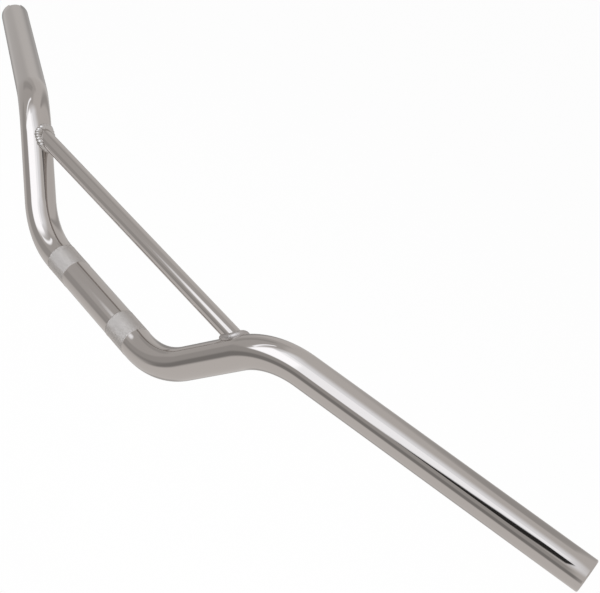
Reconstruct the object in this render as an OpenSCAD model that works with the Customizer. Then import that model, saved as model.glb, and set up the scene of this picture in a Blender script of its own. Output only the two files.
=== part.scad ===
// Low-rise handlebar in chromed steel: one bent tube with two knurled clamping bands, a crossbar
// coped to fit between its risers, and a rippled weld bead round each end of the crossbar.
// Millimetres, +Z up, +Y to the front, +X to the rider's right. The origin is the middle of the
// clamping stretch, on the tube's centreline.

/* [Bent tube] */
// Outside diameter of the bent tube
tube_d = 25.4; // [24:0.1:28]
// Wall thickness of the bent tube
tube_wall = 2.4; // [1.6:0.1:3.2]
// Straight length of the clamping stretch, between the two lower bends
clamp_len = 126; // [122:1:160]
// Turn of the lower bends, from the clamping stretch up into the risers
low_bend = 43; // [38:0.5:52]
// Centreline radius of the lower bends
low_clr = 76; // [60:1:90]
// Straight length of each riser, between its two bends
riser_len = 57; // [48:1:80]
// Turn of the upper bends, from the risers out into the grips
high_bend = 50.3; // [42:0.1:58]
// Centreline radius of the upper bends
high_clr = 63; // [50:1:80]
// Turn of the upper bend's plane about the riser, which sweeps the grips to the rear
grip_twist = 34.5; // [15:0.5:50]
// Straight length of each grip, from its bend to its end
grip_len = 232; // [150:1:260]
// Radius of the rolled-over outer edge at each end of the tube
end_round = 1.2; // [0.4:0.1:1.4]

/* [Notch in the right-hand end] */
// Width of the notch
notch_w = 10.7; // [6:0.1:13]
// Depth of the notch, along the tube
notch_depth = 4.5; // [3:0.1:8]
// Radius of the notch's two inner corners
notch_corner = 1.5; // [0.5:0.1:2.5]
// Place of the notch round the tube, measured from the outside of the upper bend
notch_turn = 0; // [-60:1:60]

/* [Knurled bands] */
// Distance between the middles of the two bands
band_pitch = 93.8; // [80:0.1:96]
// Width of each band
band_w = 25.4; // [16:0.1:26]
// Height that the rolled knurl stands above the tube
knurl_rise = 0.2; // [0.1:0.05:0.3]

/* [Crossbar] */
// Outside diameter of the crossbar
cross_d = 12.7; // [10:0.1:16]
// Wall thickness of the crossbar
cross_wall = 1.6; // [1:0.1:2.5]
// Height of the crossbar's centreline above that of the clamping stretch
cross_height = 64; // [52:1:68]

/* [Weld beads] */
// Reach of the bead from the corner between the two tubes
bead_r = 3.2; // [2:0.1:4]
// Number of ripples round each end of the crossbar
ripple_count = 22; // [16:1:26]

/* [Hidden] */
$fn = 64;
tube_r = tube_d / 2;
bore_r = tube_r - tube_wall;
cross_r = cross_d / 2;
overrun = 1;        // how far each cutter passes the face that it cuts
draw_down = 0.03;   // loss of radius where the tube is bent
run_out_len = 1.5;  // length of the cone that runs on into a bend

// Where the crossbar's centreline meets that of a riser, on the riser's line drawn straight
seat_x = clamp_len / 2 + low_clr * tan(low_bend / 2) + cross_height / tan(low_bend);

// A straight stretch of a round bar of radius r, along +Z. Where it meets a bend, a slim cone
// runs on from it and dies away inside the bend.
module straight(r, len, meets = 2) {
    slim_r = r - 3 * draw_down;
    far_run = meets == 2 ? run_out_len : 0;
    rotate_extrude() polygon([[0, -run_out_len], [slim_r, -run_out_len], [r, 0], [r, len],
                              if (meets == 2) [slim_r, len + far_run], [0, len + far_run]]);
}

// A bend of such a bar, which starts along +Z and turns towards +X
module bend(r, clr, turn) {
    translate([clr, 0, 0]) rotate([90, 0, 180])
        rotate_extrude(angle = turn) translate([clr, 0]) circle(r = r - draw_down);
}

module past_bend(clr, turn) {
    translate([clr, 0, 0]) rotate([0, turn, 0]) translate([-clr, 0, 0]) children();
}

// Stations along the right half. Each puts its children where that stretch starts, heading +Z.
module at_low_bend() {
    translate([clamp_len / 2, 0, 0]) rotate([0, 90, 0]) rotate([0, 0, 180]) children();
}

module at_riser() {
    at_low_bend() past_bend(low_clr, low_bend) children();
}

// The upper bend turns back down towards level, in a plane swung to the rear
module at_high_bend() {
    at_riser() translate([0, 0, riser_len]) rotate([0, 0, 180 - grip_twist]) children();
}

module at_grip() {
    at_high_bend() past_bend(high_clr, high_bend) children();
}

module at_end() {
    at_grip() translate([0, 0, grip_len]) children();
}

module both_sides() {
    children();
    mirror([1, 0, 0]) children();
}

// The whole bent round bar: at tube_r it is the tube's outside, at bore_r its bore
module bent_bar(r, past_end = 0) {
    translate([-clamp_len / 2, 0, 0]) rotate([0, 90, 0]) straight(r, clamp_len);
    both_sides() {
        at_low_bend() bend(r, low_clr, low_bend);
        at_riser() straight(r, riser_len);
        at_high_bend() bend(r, high_clr, high_bend);
        at_grip() straight(r, grip_len + past_end, meets = 1);
    }
}

// What the rolled-over edge takes off a tube end
module edge_cutter() {
    rotate_extrude() translate([tube_r - end_round, -end_round]) difference() {
        square(end_round + overrun);
        circle(r = end_round);
    }
}

module notch_cutter() {
    rotate([0, 0, notch_turn]) rotate([0, -90, 0])
        linear_extrude(tube_r + overrun) notch_outline();
}

// The notch's outline, with the end of the tube at x = 0
module notch_outline() {
    floor_x = notch_corner - notch_depth;
    translate([floor_x, -notch_w / 2]) square([overrun - floor_x, notch_w]);
    translate([-notch_depth, notch_corner - notch_w / 2])
        square([notch_depth, notch_w - 2 * notch_corner]);
    for (side = [-1, 1])
        translate([floor_x, side * (notch_w / 2 - notch_corner)]) circle(r = notch_corner);
}

// One band of rolled knurl, its edges bevelled down to the tube
module knurl_band() {
    knurl_r = tube_r + knurl_rise;
    rotate([0, 90, 0]) translate([0, 0, -band_w / 2]) rotate_extrude()
        polygon([[0, 0], [tube_r, 0], [knurl_r, knurl_rise], [knurl_r, band_w - knurl_rise],
                 [tube_r, band_w], [0, band_w]]);
}

module bent_tube() {
    color([0.72, 0.70, 0.68]) difference() {
        union() {
            bent_bar(tube_r);
            both_sides() translate([band_pitch / 2, 0, 0]) knurl_band();
        }
        bent_bar(bore_r, overrun);
        both_sides() at_end() edge_cutter();
        at_end() notch_cutter();
    }
}

// A round bar on the crossbar's centreline, from seat to seat and past_seat beyond each
module cross_rod(r, past_seat = 0) {
    translate([-seat_x - past_seat, 0, cross_height]) rotate([0, 90, 0])
        cylinder(r = r, h = 2 * (seat_x + past_seat));
}

// Its ends are coped to the straight risers
module crossbar() {
    color([0.72, 0.70, 0.68]) difference() {
        cross_rod(cross_r);
        cross_rod(cross_r - cross_wall, overrun);
        both_sides() at_riser() translate([0, 0, -tube_d])
            cylinder(r = tube_r, h = riser_len + 2 * tube_d);
    }
}

// Where the two tubes' outsides meet, at the given turn round the crossbar
function seam_point(turn) =
    let (y = cross_r * cos(turn), rise = cross_r * sin(turn))
    [seat_x + (rise * cos(low_bend) - sqrt(tube_r ^ 2 - y ^ 2)) / sin(low_bend), y,
     cross_height + rise];

module weld_right() {
    color([0.66, 0.64, 0.62]) difference() {
        for (i = [0:ripple_count - 1])
            translate(seam_point(360 * i / ripple_count)) sphere(r = bead_r);
        cross_rod(cross_r);
        bent_bar(tube_r);
    }
}

module weld_left() {
    mirror([1, 0, 0]) weld_right();
}

bent_tube();
crossbar();
weld_left();
weld_right();
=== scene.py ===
import bpy
import bmesh
from math import radians, sin, cos, tan, sqrt, pi
from mathutils import Matrix, Vector


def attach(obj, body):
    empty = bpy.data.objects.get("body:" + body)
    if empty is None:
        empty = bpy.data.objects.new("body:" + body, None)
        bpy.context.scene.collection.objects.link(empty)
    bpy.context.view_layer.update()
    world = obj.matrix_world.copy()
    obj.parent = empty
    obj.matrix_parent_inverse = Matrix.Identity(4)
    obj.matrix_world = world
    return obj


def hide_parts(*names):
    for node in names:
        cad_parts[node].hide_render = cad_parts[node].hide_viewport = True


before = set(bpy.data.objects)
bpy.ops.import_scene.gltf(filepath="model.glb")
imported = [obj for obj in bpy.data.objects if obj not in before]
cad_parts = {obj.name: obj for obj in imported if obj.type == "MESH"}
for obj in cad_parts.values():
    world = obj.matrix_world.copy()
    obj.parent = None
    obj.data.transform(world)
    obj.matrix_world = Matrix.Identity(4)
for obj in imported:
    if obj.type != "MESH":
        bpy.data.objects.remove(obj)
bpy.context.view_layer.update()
scene = bpy.context.scene
mm = 0.001


# shader helpers

class Sock:
    # an output socket, so that shader maths reads as maths
    def __init__(self, tree, out):
        self.tree = tree
        self.out = out

    def maths(self, operation, other=None, flip=False):
        first, second = (other, self) if flip else (self, other)
        node = self.tree.nodes.new("ShaderNodeMath")
        node.operation = operation
        for place, value in enumerate((first, second)):
            if isinstance(value, Sock):
                self.tree.links.new(value.out, node.inputs[place])
            elif value is not None:
                node.inputs[place].default_value = value
        return Sock(self.tree, node.outputs[0])

    def __add__(self, other):
        return self.maths("ADD", other)

    def __sub__(self, other):
        return self.maths("SUBTRACT", other)

    def __rsub__(self, other):
        return self.maths("SUBTRACT", other, flip=True)

    def __mul__(self, other):
        return self.maths("MULTIPLY", other)

    def rises(self, low, high):
        return addNode(self.tree, "MapRange", settings={"interpolation_type": "SMOOTHSTEP"},
                       Value=self, From_Min=low, From_Max=high)


# outputs of the Texture Coordinate node
directionOutput = 0
objectCoordinates = 3


def addNode(tree, kind, output=0, settings=None, places=None, **sockets):
    node = tree.nodes.new("ShaderNode" + kind)
    for key, value in (settings or {}).items():
        setattr(node, key, value)
    wanted = dict(places or {})
    wanted.update({key.replace("_", " "): value for key, value in sockets.items()})
    for key, value in wanted.items():
        if isinstance(value, Sock):
            tree.links.new(value.out, node.inputs[key])
        else:
            node.inputs[key].default_value = value
    return Sock(tree, node.outputs[output])


def metal(name, colour, roughness, normal=None):
    material = bpy.data.materials.new(name)
    material.use_nodes = True
    tree = material.node_tree
    tree.nodes.clear()
    place = addNode(tree, "TexCoord", output=objectCoordinates)
    sockets = {"Base Color": colour, "Metallic": 1.0, "Roughness": roughness(tree, place)}
    if normal:
        sockets["Normal"] = normal(tree, place)
    surface = addNode(tree, "BsdfPrincipled", places=sockets)
    tree.links.new(surface.out, tree.nodes.new("ShaderNodeOutputMaterial").inputs[0])
    return material


# finishes

plating = {"colour": (0.56, 0.53, 0.51, 1), "roughness": 0.035, "haze": 0.03, "hazeScale": 38.0,
           "waveScale": 45.0, "waveHeight": 0.00003}
knurlFinish = {"colour": (0.60, 0.575, 0.555, 1), "roughness": 0.30, "patches": 0.22, "patchScale": 110.0}
weldFinish = {"colour": (0.60, 0.58, 0.565, 1), "roughness": 0.06, "patches": 0.10,
              "lumpScale": 380.0, "lumpHeight": 0.0005}
dressedFinish = {"colour": (0.52, 0.495, 0.48, 1), "roughness": 0.34, "patches": 0.12, "patchScale": 160.0}


def platedRoughness(tree, place):
    haze = addNode(tree, "TexNoise", Vector=place, Scale=plating["hazeScale"], Detail=4.0, Roughness=0.6)
    return haze * plating["haze"] + (plating["roughness"] - plating["haze"] / 2)


def drawnWaves(tree, place):
    # the drawn tube isn't dead straight under its plating
    waves = addNode(tree, "TexNoise", Vector=place, Scale=plating["waveScale"], Detail=1.0, Roughness=0.4)
    return addNode(tree, "Bump", Height=waves, Strength=1.0, Distance=plating["waveHeight"])


def satin(finish):
    def roughness(tree, place):
        patches = addNode(tree, "TexNoise", Vector=place, Scale=finish["patchScale"], Detail=5.0,
                          Roughness=0.65)
        return patches * finish["patches"] + finish["roughness"]
    return roughness


def weldRoughness(tree, place):
    lumps = addNode(tree, "TexNoise", Vector=place, Scale=weldFinish["lumpScale"], Detail=3.0)
    return lumps * weldFinish["patches"] + weldFinish["roughness"]


def weldLumps(tree, place):
    lumps = addNode(tree, "TexNoise", Vector=place, Scale=weldFinish["lumpScale"], Detail=2.0)
    return addNode(tree, "Bump", Height=lumps, Strength=0.5, Distance=weldFinish["lumpHeight"])


chrome = metal("chrome_plating", plating["colour"], platedRoughness, drawnWaves)
knurled = metal("knurled_chrome", knurlFinish["colour"], satin(knurlFinish))
weldMetal = metal("plated_weld", weldFinish["colour"], weldRoughness, weldLumps)
dressedWeld = metal("dressed_weld", dressedFinish["colour"], satin(dressedFinish))


# pieces

def finished(bm, name, material, *nodes, smooth=True):
    bmesh.ops.recalc_face_normals(bm, faces=bm.faces)
    mesh = bpy.data.meshes.new(name)
    bm.to_mesh(mesh)
    bm.free()
    return dressed(mesh, name, material, *nodes, smooth=smooth)


def dressed(mesh, name, material, *nodes, smooth=True):
    if smooth:
        mesh.shade_smooth()
        mesh.set_sharp_from_angle(angle=radians(40))
    mesh.materials.clear()
    mesh.materials.append(material)
    piece = bpy.data.objects.new(name, mesh)
    scene.collection.objects.link(piece)
    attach(piece, "root")
    if nodes:
        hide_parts(*nodes)
    print("made", name, len(mesh.polygons), "faces")
    return piece


def ringEdges(verts):
    # each edge once, in a fixed order
    return list(dict.fromkeys(edge for vert in verts for edge in vert.link_edges))


def turned(bm, profile, steps=128):
    # a profile of (place along X, radius) turned once round the X axis
    points = [bm.verts.new((along, 0, radius)) for along, radius in profile]
    lines = [bm.edges.new(pair) for pair in zip(points, points[1:])]
    bmesh.ops.spin(bm, geom=points + lines, cent=(0, 0, 0), axis=(1, 0, 0), angle=2 * pi, steps=steps,
                   use_merge=True)


# the radius is 0.03 mm under that of the solid's straights, as its bends are, so that no bend passes
# the solid's box
bentTube = {
    "radius": 12.67 * mm, "wall": 2.37 * mm, "segments": 128, "stepsPerBend": 44,
    "clampLength": 126 * mm, "lowBend": radians(43), "lowRadius": 76 * mm,
    "riserLength": 57 * mm, "highBend": radians(50.3), "highRadius": 63 * mm,
    "gripTwist": radians(34.5), "gripLength": 232 * mm, "edgeRound": 1.2 * mm,
    "notchWidth": 10.7 * mm, "notchDepth": 4.5 * mm, "notchCorner": 1.5 * mm,
}


class Bender:
    # an open ring of vertices, drawn out and bent as the tube is: its centre, its heading, and the
    # side that the next bend turns towards
    def __init__(self, bm, radius):
        self.bm = bm
        self.centre = Vector((0, 0, 0))
        self.heading = Vector((1, 0, 0))
        self.side = Vector((0, 0, 1))
        across = Matrix.Rotation(pi / 2, 4, "Y")
        ring = bmesh.ops.create_circle(bm, radius=radius, segments=bentTube["segments"], matrix=across)
        self.ring = ringEdges(ring["verts"])

    def straight(self, length, steps):
        for step in range(steps):
            out = bmesh.ops.extrude_edge_only(self.bm, edges=self.ring)["geom"]
            self.ring = [item for item in out if isinstance(item, bmesh.types.BMEdge)]
            verts = [item for item in out if isinstance(item, bmesh.types.BMVert)]
            bmesh.ops.translate(self.bm, verts=verts, vec=self.heading * (length / steps))
            self.centre = self.centre + self.heading * (length / steps)

    def bend(self, turn, radius):
        axis = self.heading.cross(self.side)
        pivot = self.centre + self.side * radius
        out = bmesh.ops.spin(self.bm, geom=self.ring, cent=pivot, axis=axis, angle=turn,
                             steps=bentTube["stepsPerBend"])
        self.ring = [item for item in out["geom_last"] if isinstance(item, bmesh.types.BMEdge)]
        swing = Matrix.Rotation(turn, 3, axis)
        self.centre = pivot + swing @ (self.centre - pivot)
        self.heading = swing @ self.heading
        self.side = swing @ self.side

    def swingPlane(self, turn):
        self.side = Matrix.Rotation(turn, 3, self.heading) @ self.side


def rightHalf(bm, radius):
    size = bentTube
    bender = Bender(bm, radius)
    bender.straight(size["clampLength"] / 2, 4)
    bender.bend(size["lowBend"], size["lowRadius"])
    bender.straight(size["riserLength"], 3)
    bender.swingPlane(pi - size["gripTwist"])
    bender.bend(size["highBend"], size["highRadius"])
    bender.straight(size["gripLength"], 14)
    return bender


def notchCutter(end):
    size = bentTube
    depth = size["notchDepth"]
    over = 1 * mm
    reach = size["radius"] + over
    bm = bmesh.new()
    cube = bmesh.ops.create_cube(bm, size=1)["verts"]
    bmesh.ops.scale(bm, verts=cube, vec=(depth + over, size["notchWidth"], reach))
    bmesh.ops.translate(bm, verts=cube, vec=((over - depth) / 2, 0, reach / 2))
    corners = [edge for edge in bm.edges if all(vert.co.x < 0 for vert in edge.verts)
               and abs(edge.verts[0].co.z - edge.verts[1].co.z) > reach / 2]
    bmesh.ops.bevel(bm, geom=corners, offset=size["notchCorner"], offset_type="OFFSET", affect="EDGES",
                    segments=8, profile=0.5, material=-1)
    outward = -end.side
    turn = Matrix((end.heading, outward.cross(end.heading), outward)).transposed().to_4x4()
    bmesh.ops.transform(bm, matrix=Matrix.Translation(end.centre) @ turn, verts=bm.verts)
    bmesh.ops.recalc_face_normals(bm, faces=bm.faces)
    mesh = bpy.data.meshes.new("notch_cutter")
    bm.to_mesh(mesh)
    bm.free()
    cutter = bpy.data.objects.new("notch_cutter", mesh)
    scene.collection.objects.link(cutter)
    return cutter


def makeTube():
    size = bentTube
    bm = bmesh.new()
    outer = rightHalf(bm, size["radius"])
    inner = rightHalf(bm, size["radius"] - size["wall"])
    print("right end at", [round(c / mm, 2) for c in outer.centre], "ring of", len(outer.ring))
    # the end's flat lip is drawn in from the outer ring, and meets the bore's own ring
    drawn = bmesh.ops.extrude_edge_only(bm, edges=outer.ring)["geom"]
    lip = [item for item in drawn if isinstance(item, bmesh.types.BMVert)]
    shrink = 1 - size["wall"] / size["radius"]
    bmesh.ops.scale(bm, verts=lip, vec=(shrink, shrink, shrink), space=Matrix.Translation(-outer.centre))
    boreEnd = list(dict.fromkeys(vert for edge in inner.ring for vert in edge.verts))
    bmesh.ops.remove_doubles(bm, verts=lip + boreEnd, dist=0.002 * mm)
    bmesh.ops.bevel(bm, geom=outer.ring, offset=size["edgeRound"], offset_type="OFFSET",
                    affect="EDGES", segments=5, profile=0.5, material=-1)
    whole = list(bm.verts) + list(bm.edges) + list(bm.faces)
    bmesh.ops.mirror(bm, geom=whole, axis="X", merge_dist=0.002 * mm)
    bmesh.ops.recalc_face_normals(bm, faces=bm.faces)
    blank = bpy.data.meshes.new("tube_blank")
    bm.to_mesh(blank)
    bm.free()
    holder = bpy.data.objects.new("tube_blank", blank)
    scene.collection.objects.link(holder)
    cutter = notchCutter(outer)
    cut = holder.modifiers.new("notch", "BOOLEAN")
    cut.operation = "DIFFERENCE"
    cut.solver = "EXACT"
    cut.object = cutter
    bpy.context.view_layer.update()
    mesh = bpy.data.meshes.new_from_object(holder.evaluated_get(bpy.context.evaluated_depsgraph_get()))
    bpy.data.objects.remove(holder)
    bpy.data.objects.remove(cutter)
    return dressed(mesh, "bent_tube_plated", chrome, "bent_tube")


knurl = {"pitch": 93.8 * mm, "width": 25.4 * mm, "root": 12.715 * mm, "tooth": 0.145 * mm,
         "around": 72, "along": 21, "rim": 0.5 * mm, "rimRadius": 12.86 * mm,
         "rimRoot": 12.6 * mm}


def knurlTeeth(bm, middle):
    # a grid is poked, and its own lines taken out, which leaves diamonds; these are poked up as teeth
    size = knurl
    length = size["width"] - 2 * size["rim"]
    start = Matrix.Translation((middle - length / 2, 0, 0)) @ Matrix.Rotation(pi / 2, 4, "Y")
    made = bmesh.ops.create_circle(bm, radius=size["root"], segments=size["around"], matrix=start)
    ring = ringEdges(made["verts"])
    for step in range(size["along"]):
        out = bmesh.ops.extrude_edge_only(bm, edges=ring)["geom"]
        ring = [item for item in out if isinstance(item, bmesh.types.BMEdge)]
        verts = [item for item in out if isinstance(item, bmesh.types.BMVert)]
        bmesh.ops.translate(bm, verts=verts, vec=(length / size["along"], 0, 0))
    grid = [edge for edge in bm.edges if len(edge.link_faces) == 2]
    bmesh.ops.poke(bm, faces=list(bm.faces))
    bmesh.ops.dissolve_edges(bm, edges=grid)
    bmesh.ops.recalc_face_normals(bm, faces=bm.faces)
    bmesh.ops.poke(bm, faces=list(bm.faces), offset=size["tooth"])


def makeKnurlBands():
    size = knurl
    for name, side in (("left", -1), ("right", 1)):
        middle = side * size["pitch"] / 2
        bm = bmesh.new()
        knurlTeeth(bm, middle)
        finished(bm, "knurl_" + name, knurled, smooth=False)
        bm = bmesh.new()
        for edge in (-1, 1):
            outside = middle + edge * size["width"] / 2
            inside = outside - edge * size["rim"]
            lift = size["rimRadius"] - bentTube["radius"]
            turned(bm, [(outside, size["rimRoot"]), (outside, bentTube["radius"]),
                        (outside - edge * lift, size["rimRadius"]), (inside, size["rimRadius"]),
                        (inside, size["rimRoot"])])
        finished(bm, "knurl_rim_" + name, chrome)


crossbar = {"radius": 6.35 * mm, "height": 64 * mm, "inWall": 10.7 * mm}
seatX = (bentTube["clampLength"] / 2 + bentTube["lowRadius"] * tan(bentTube["lowBend"] / 2)
         + crossbar["height"] / tan(bentTube["lowBend"]))


def makeCrossbar():
    # each end is cut off on the slant of its riser, inside the riser's wall
    size = crossbar
    bm = bmesh.new()
    turned(bm, [(-seatX, size["radius"]), (0, size["radius"]), (seatX, size["radius"])], steps=96)
    bmesh.ops.translate(bm, verts=bm.verts, vec=(0, 0, size["height"]))
    slant = bentTube["lowBend"]
    for side in (-1, 1):
        outward = Vector((side * sin(slant), 0, -cos(slant)))
        point = Vector((side * seatX, 0, size["height"])) - outward * size["inWall"]
        everything = list(bm.verts) + list(bm.edges) + list(bm.faces)
        bmesh.ops.bisect_plane(bm, geom=everything, plane_co=point, plane_no=outward, clear_outer=True)
    bmesh.ops.holes_fill(bm, edges=[edge for edge in bm.edges if len(edge.link_faces) == 1])
    finished(bm, "crossbar_plated", chrome, "crossbar")


weldBead = {"radius": 3.15 * mm, "ripples": 22, "pointsPerRipple": 8, "sides": 7}
# the photo's near weld is dressed smooth. Its far weld is uneven: how deep the creases between ripples
# are, how far the ripples drift round the seam, and how much the bead swells past its solid
beadRun = {"weld_left": {"metal": dressedWeld, "crease": 0.02, "drift": 0, "lump": 0},
           "weld_right": {"metal": weldMetal, "crease": 0.30, "drift": 1.5, "lump": 0.14}}


def seamPoint(turn, side):
    across = crossbar["radius"] * cos(turn)
    rise = crossbar["radius"] * sin(turn)
    slant = bentTube["lowBend"]
    reach = (rise * cos(slant) - sqrt(bentTube["radius"] ** 2 - across ** 2)) / sin(slant)
    return Vector((side * (seatX + reach), across, crossbar["height"] + rise))


def makeWeld(name, side):
    # a round bead drawn along the seam, pinched between one ripple and the next
    size = weldBead
    run = beadRun[name]
    count = size["ripples"] * size["pointsPerRipple"]
    path = bpy.data.curves.new(name, "CURVE")
    path.dimensions = "3D"
    path.bevel_depth = size["radius"]
    path.bevel_resolution = size["sides"]
    line = path.splines.new("POLY")
    line.points.add(count - 1)
    line.use_cyclic_u = True
    for place, point in enumerate(line.points):
        turn = 2 * pi * place / count
        ripple = sqrt(abs(sin(turn * size["ripples"] / 2 + run["drift"] * sin(3 * turn))))
        crease = run["crease"] * (0.6 + 0.4 * sin(2 * turn + 1)) * (1 - ripple)
        lump = run["lump"] * (1 + sin(3 * turn + 1) + sin(7 * turn)) / 2
        point.co = (*seamPoint(turn, side), 1)
        point.radius = 1 - crease + lump
    holder = bpy.data.objects.new(name, path)
    scene.collection.objects.link(holder)
    bpy.context.view_layer.update()
    mesh = bpy.data.meshes.new_from_object(holder.evaluated_get(bpy.context.evaluated_depsgraph_get()))
    bpy.data.objects.remove(holder)
    return dressed(mesh, name + "_bead", run["metal"], name)


makeTube()
makeKnurlBands()
makeCrossbar()
makeWeld("weld_left", -1)
makeWeld("weld_right", 1)


# studio

# how bright the room is, and the elevations between which one level gives way to the next
studio = {"above": 0.68, "level": 0.66, "below": 0.73, "belowBand": (-50, -32), "aboveBand": (30, 80),
          "warm": (1.02, 0.99, 0.97), "cool": (0.97, 1, 1.05)}

# walls, soft boxes and cards round the bar: azimuth and elevation of the edges in degrees, how soft the
# edge is, how far it leans with height, and how bright it is
studioAreas = [
    {"name": "side wall", "box": (-70, -55, 5, 75), "edge": 12, "lean": 0, "level": 0.45},
    {"name": "low wall", "box": (-60, -35, -60, -10), "edge": 10, "lean": 0, "level": 0.5},
    {"name": "far wall", "box": (-45, -20, -30, 10), "edge": 15, "lean": 0, "level": 0.35},
    {"name": "grey wall", "box": (-15, 50, -25, 55), "edge": 10, "lean": 0, "level": 0.55},
    {"name": "doorway", "box": (0, 15, 5, 45), "edge": 8, "lean": 0, "level": 0.45},
    {"name": "table", "box": (25, 120, -30, 0), "edge": 8, "lean": 0, "level": 0.45},
    {"name": "table edge", "box": (45, 125, -40, -20), "edge": 10, "lean": 0, "level": 0.28},
    {"name": "glow", "box": (55, 130, 15, 65), "edge": 30, "lean": 0, "level": 1.2},
    {"name": "soft box", "box": (55, 108, 0, 45), "edge": 5, "lean": -0.25, "level": 1.5},
    {"name": "bright core", "box": (55, 100, 0, 35), "edge": 8, "lean": 0, "level": 1.8},
    {"name": "window", "box": (55, 60, 10, 45), "edge": 4, "lean": 0.5, "level": 1.6},
    {"name": "black card", "box": (108, 114, 0, 30), "edge": 2, "lean": -0.25, "level": 0.03},
]


def makeStudio():
    world = bpy.data.worlds.new("studio")
    scene.world = world
    world.use_nodes = True
    tree = world.node_tree
    tree.nodes.clear()
    direction = addNode(tree, "TexCoord", output=directionOutput)
    split = tree.nodes.new("ShaderNodeSeparateXYZ")
    tree.links.new(direction.out, split.inputs[0])
    x, y, z = (Sock(tree, out) for out in split.outputs)
    azimuth = y.maths("ARCTAN2", x) * (180 / pi)
    elevation = z.maths("ARCSINE") * (180 / pi)

    def blend(mask, first, second):
        return addNode(tree, "Mix", output=2, settings={"data_type": "RGBA"},
                       places={0: mask, 6: first, 7: second})

    def tinted(level):
        # bright areas are a little cool, and the rest a little warm
        tint = studio["cool"] if level > 1 else studio["warm"]
        return (*(level * part for part in tint), 1)

    light = blend(elevation.rises(*studio["belowBand"]), tinted(studio["below"]), tinted(studio["level"]))
    light = blend(elevation.rises(*studio["aboveBand"]), light, tinted(studio["above"]))
    for area in studioAreas:
        left, right, low, high = area["box"]
        half = area["edge"] / 2
        along = azimuth + elevation * area["lean"]
        mask = (along.rises(left - half, left + half) * (1 - along.rises(right - half, right + half))
                * elevation.rises(low - half, low + half)
                * (1 - elevation.rises(high - half, high + half)))
        light = blend(mask, light, tinted(area["level"]))
    seen = addNode(tree, "LightPath", output=0)
    light = blend(seen, light, (1, 1, 1, 1))
    background = tree.nodes.new("ShaderNodeBackground")
    tree.links.new(light.out, background.inputs[0])
    tree.links.new(background.outputs[0], tree.nodes.new("ShaderNodeOutputWorld").inputs[0])
    print("made studio with", len(studioAreas), "areas")


floorPlan = {"reach": 8, "height": -0.30, "paint": (0.86, 0.86, 0.86, 1), "whitening": 0.94}


def makeFloor():
    # the camera sees it nearly white, and the shadow stays; the metal reflects the studio areas alone
    bm = bmesh.new()
    bmesh.ops.create_grid(bm, x_segments=1, y_segments=1, size=floorPlan["reach"])
    bmesh.ops.translate(bm, verts=bm.verts, vec=(0, 0, floorPlan["height"]))
    mesh = bpy.data.meshes.new("floor")
    bm.to_mesh(mesh)
    bm.free()
    floor = bpy.data.objects.new("floor", mesh)
    scene.collection.objects.link(floor)
    floor.visible_glossy = False
    material = bpy.data.materials.new("pale_floor")
    material.use_nodes = True
    tree = material.node_tree
    tree.nodes.clear()
    paint = addNode(tree, "BsdfDiffuse", places={"Color": floorPlan["paint"]})
    glow = addNode(tree, "Emission", places={"Color": (1, 1, 1, 1), "Strength": 1.0})
    seen = addNode(tree, "LightPath", output=0) * floorPlan["whitening"]
    both = addNode(tree, "MixShader", places={0: seen, 1: paint, 2: glow})
    tree.links.new(both.out, tree.nodes.new("ShaderNodeOutputMaterial").inputs[0])
    mesh.materials.append(material)


overheadLamp = {"place": (-0.3, 0.2, 1.9), "size": 1.6, "power": 22}


def makeOverhead():
    lamp = bpy.data.lights.new("overhead", "AREA")
    lamp.shape = "DISK"
    lamp.size = overheadLamp["size"]
    lamp.energy = overheadLamp["power"]
    overhead = bpy.data.objects.new("overhead", lamp)
    overhead.location = overheadLamp["place"]
    overhead.visible_glossy = False
    scene.collection.objects.link(overhead)


photoView = {
    "location": (-0.83137474, 0.76660285, 0.46226157),
    "right": (-0.56373928, -0.68505455, 0.46140903),
    "down": (-0.55219242, -0.1028441, -0.82734915),
    "lens": 93.61, "sensor": 36, "farClip": 50,
}


def aimCamera():
    right = Vector(photoView["right"]).normalized()
    up = -Vector(photoView["down"]).normalized()
    back = right.cross(up)
    data = bpy.data.cameras.new("camera")
    data.sensor_width = photoView["sensor"]
    data.lens = photoView["lens"]
    data.clip_end = photoView["farClip"]
    camera = bpy.data.objects.new("camera", data)
    turn = Matrix((right, up, back)).transposed().to_4x4()
    camera.matrix_world = Matrix.Translation(photoView["location"]) @ turn
    scene.collection.objects.link(camera)
    scene.camera = camera


makeStudio()
makeFloor()
makeOverhead()
aimCamera()
scene.view_settings.view_transform = "Standard"
